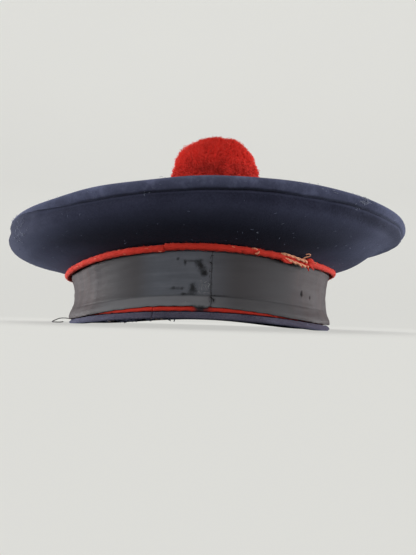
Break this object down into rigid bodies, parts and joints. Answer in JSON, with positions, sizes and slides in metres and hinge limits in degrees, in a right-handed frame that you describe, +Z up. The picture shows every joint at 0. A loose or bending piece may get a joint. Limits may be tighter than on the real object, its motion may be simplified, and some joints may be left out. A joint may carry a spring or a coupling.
{
  "type": "sailor cap",
  "caption": "Round flat-topped wool sailor cap with a rolled edge, an oval head band, a faded ribbon between red cords, and a wool pompom on the crown.",
  "frame": {"origin": "on the surface that the rim rests on, under the middle of the crown", "axes": "+Z up through the pompom, -Y towards the front with the ribbon's join, +X to the right seen from the front"},
  "size_m": [0.2662, 0.2656, 0.1391],
  "materials": {
    "navy_wool": "felted navy wool cloth with a short nap",
    "grey_ribbon": "faded grey-black silk ribbon with a dull sheen",
    "red_cord": "red wool cord, worn",
    "red_wool": "cut red wool pile"
  },
  "bodies": {
    "root": {"crown_top": "navy_wool", "crown_side": "navy_wool", "band": "navy_wool", "rim_binding": "navy_wool", "ribbon": "grey_ribbon", "upper_cord": "red_cord", "lower_cord": "red_cord", "pompom": "red_wool"}
  },
  "joints": []
}
